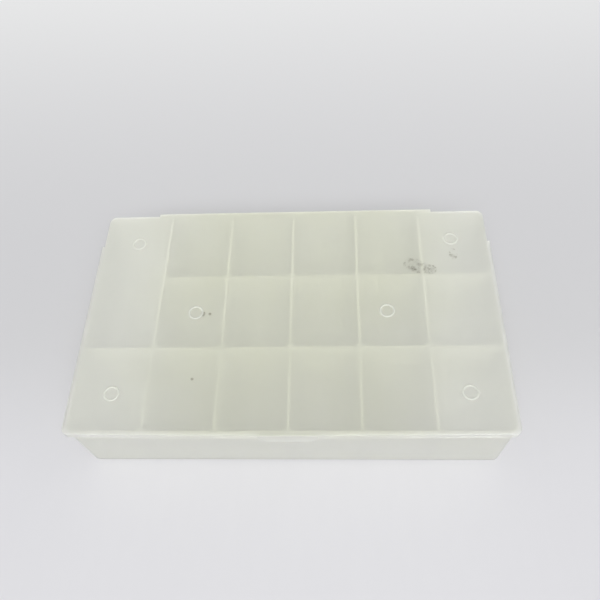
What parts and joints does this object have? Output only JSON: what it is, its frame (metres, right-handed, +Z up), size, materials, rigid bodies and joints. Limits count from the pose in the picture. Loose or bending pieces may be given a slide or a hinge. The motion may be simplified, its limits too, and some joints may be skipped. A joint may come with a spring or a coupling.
{
  "type": "parts sorting tray",
  "caption": "Shallow frosted plastic sorting box with drop-in dividers and cross partitions, a flat lid on a living hinge and a springy front latch tab.",
  "frame": {"origin": "middle of the tray's flat underside", "axes": "+X along the long side, the latch faces -Y and the hinge +Y, +Z up through the lid"},
  "size_m": [0.205, 0.1282, 0.0423],
  "materials": {
    "tray_plastic": "frosted natural polypropylene, cream white",
    "divider_plastic": "frosted natural polypropylene, cream white",
    "partition_plastic": "frosted natural polypropylene, cream white",
    "lid_plastic": "frosted natural polypropylene, see-through at close range",
    "hinge_plastic": "thin folded polypropylene",
    "latch_plastic": "frosted natural polypropylene"
  },
  "bodies": {
    "tray": {"tray_shell": "tray_plastic", "column_divider_1": "divider_plastic", "column_divider_2": "divider_plastic", "column_divider_3": "divider_plastic", "column_divider_4": "divider_plastic", "column_divider_5": "divider_plastic", "front_partition_1": "partition_plastic", "front_partition_2": "partition_plastic", "front_partition_3": "partition_plastic", "front_partition_4": "partition_plastic", "front_partition_5": "partition_plastic", "front_partition_6": "partition_plastic", "back_partition_2": "partition_plastic", "back_partition_3": "partition_plastic", "back_partition_4": "partition_plastic", "back_partition_5": "partition_plastic", "back_partition_6": "partition_plastic", "hinge_web": "hinge_plastic"},
    "lid": {"lid": "lid_plastic"},
    "latch": {"latch_tab": "latch_plastic"}
  },
  "joints": [
    {"name": "lid_hinge", "type": "hinge", "parent": "tray", "child": "lid", "pos_m": [0, 0.0635, 0.04035], "axis": [-1, 0, 0], "range_deg": [0, 180], "deforming": ["hinge_web"]},
    {"name": "latch_flex", "type": "hinge", "parent": "lid", "child": "latch", "pos_m": [0, -0.0624, 0.04125], "axis": [-1, 0, 0], "range_deg": [0, 10], "stiffness_Nm_per_rad": 0.15}
  ]
}
